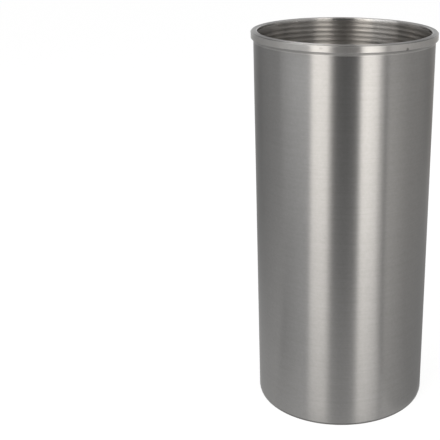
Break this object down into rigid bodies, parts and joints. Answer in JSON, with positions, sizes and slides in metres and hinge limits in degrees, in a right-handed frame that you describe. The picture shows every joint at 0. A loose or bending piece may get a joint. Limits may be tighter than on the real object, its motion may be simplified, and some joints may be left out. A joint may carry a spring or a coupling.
{
  "type": "cylinder liner",
  "caption": "Thin-walled straight sleeve with a narrow flange round its top, pressed into an engine block as the running surface for a piston.",
  "frame": {"origin": "centre of the bore in the plane of the lower end face", "axes": "+Z along the bore axis, from the lower end to the flanged top"},
  "size_m": [0.106, 0.106, 0.2258],
  "materials": {
    "machined_iron": "fine turned and ground, bare metal"
  },
  "bodies": {
    "root": {"cylinder_liner": "machined_iron"}
  },
  "joints": []
}
